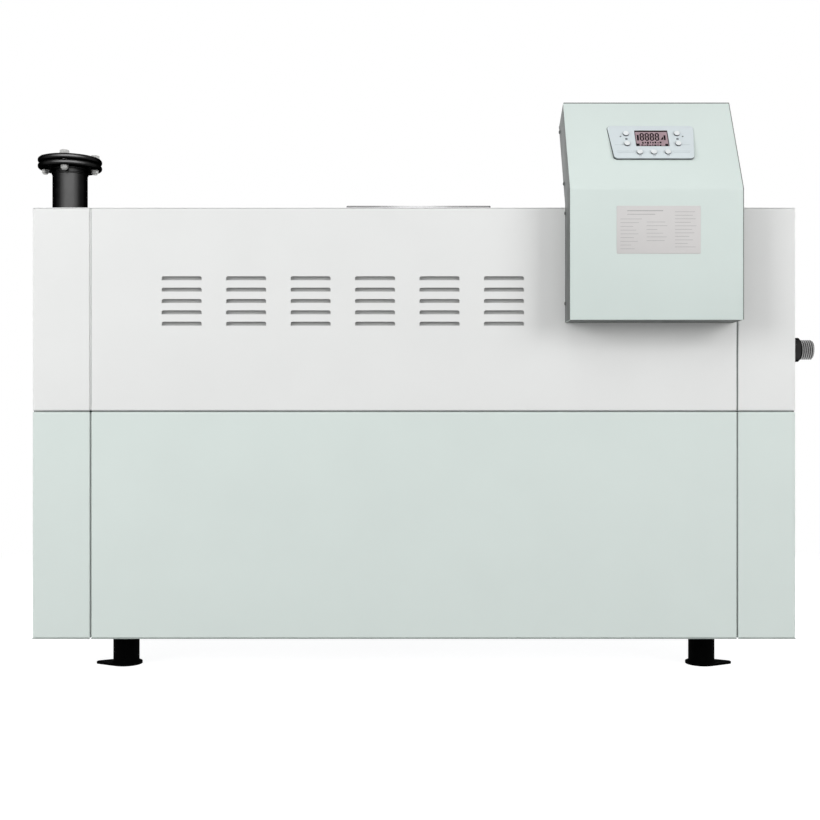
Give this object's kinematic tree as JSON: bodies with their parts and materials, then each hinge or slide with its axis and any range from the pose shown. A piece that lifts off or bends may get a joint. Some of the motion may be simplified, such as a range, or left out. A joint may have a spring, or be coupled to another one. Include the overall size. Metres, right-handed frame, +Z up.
{
  "type": "industrial boiler",
  "caption": "Floor-standing gas boiler in a wide sheet-metal cabinet with a louvred front, bent control box, flanged riser, flue collar and feet.",
  "frame": {"origin": "on the floor, at the middle of the four anchor holes under the cabinet", "axes": "+X to the right along the front, +Y from the front to the rear, +Z up"},
  "size_m": [2.3155, 1.092, 1.65],
  "materials": {
    "white_paint": "fine powder coat, satin",
    "mint_paint": "fine powder coat, satin",
    "box_paint": "fine powder coat, satin",
    "black_paint": "black enamel, semi-gloss",
    "black_iron": "blackened fitting",
    "frame_paint": "grey primer, matt",
    "stainless": "polished stainless steel",
    "steel": "plain machined steel",
    "zinc": "zinc-coated sheet",
    "panel_plastic": "smooth film",
    "lcd": "smooth window",
    "button_plastic": "moulded, matt",
    "gasket": "pressed fibre"
  },
  "bodies": {
    "root": {"base_frame": "frame_paint", "bottom_pan": "zinc", "foot_front_left": "black_paint", "foot_front_right": "black_paint", "foot_rear_left": "black_paint", "foot_rear_right": "black_paint", "frame_posts": "frame_paint", "front_rails": "frame_paint", "rear_rails": "frame_paint", "end_rails": "frame_paint", "vessel_shell": "steel", "vessel_end_left": "steel", "vessel_end_right": "steel", "vessel_saddles": "frame_paint", "front_lower_panel": "mint_paint", "front_upper_panel": "white_paint", "rear_lower_panel": "mint_paint", "rear_upper_panel": "white_paint", "left_lower_panel": "mint_paint", "left_upper_panel": "white_paint", "right_lower_panel": "mint_paint", "right_upper_panel": "white_paint", "top_panel": "white_paint", "control_box": "box_paint", "control_box_back": "box_paint", "control_panel": "panel_plastic", "display_window": "lcd", "panel_buttons": "button_plastic", "supply_pipe": "black_paint", "supply_flange": "black_paint", "supply_gasket": "gasket", "companion_flange": "black_paint", "return_pipe": "black_paint", "return_flange": "black_paint", "flue_collar": "stainless", "flue_socket": "stainless", "flue_duct": "steel", "gas_pipe": "steel", "gas_socket": "black_iron", "gas_nipple": "steel"}
  },
  "joints": []
}
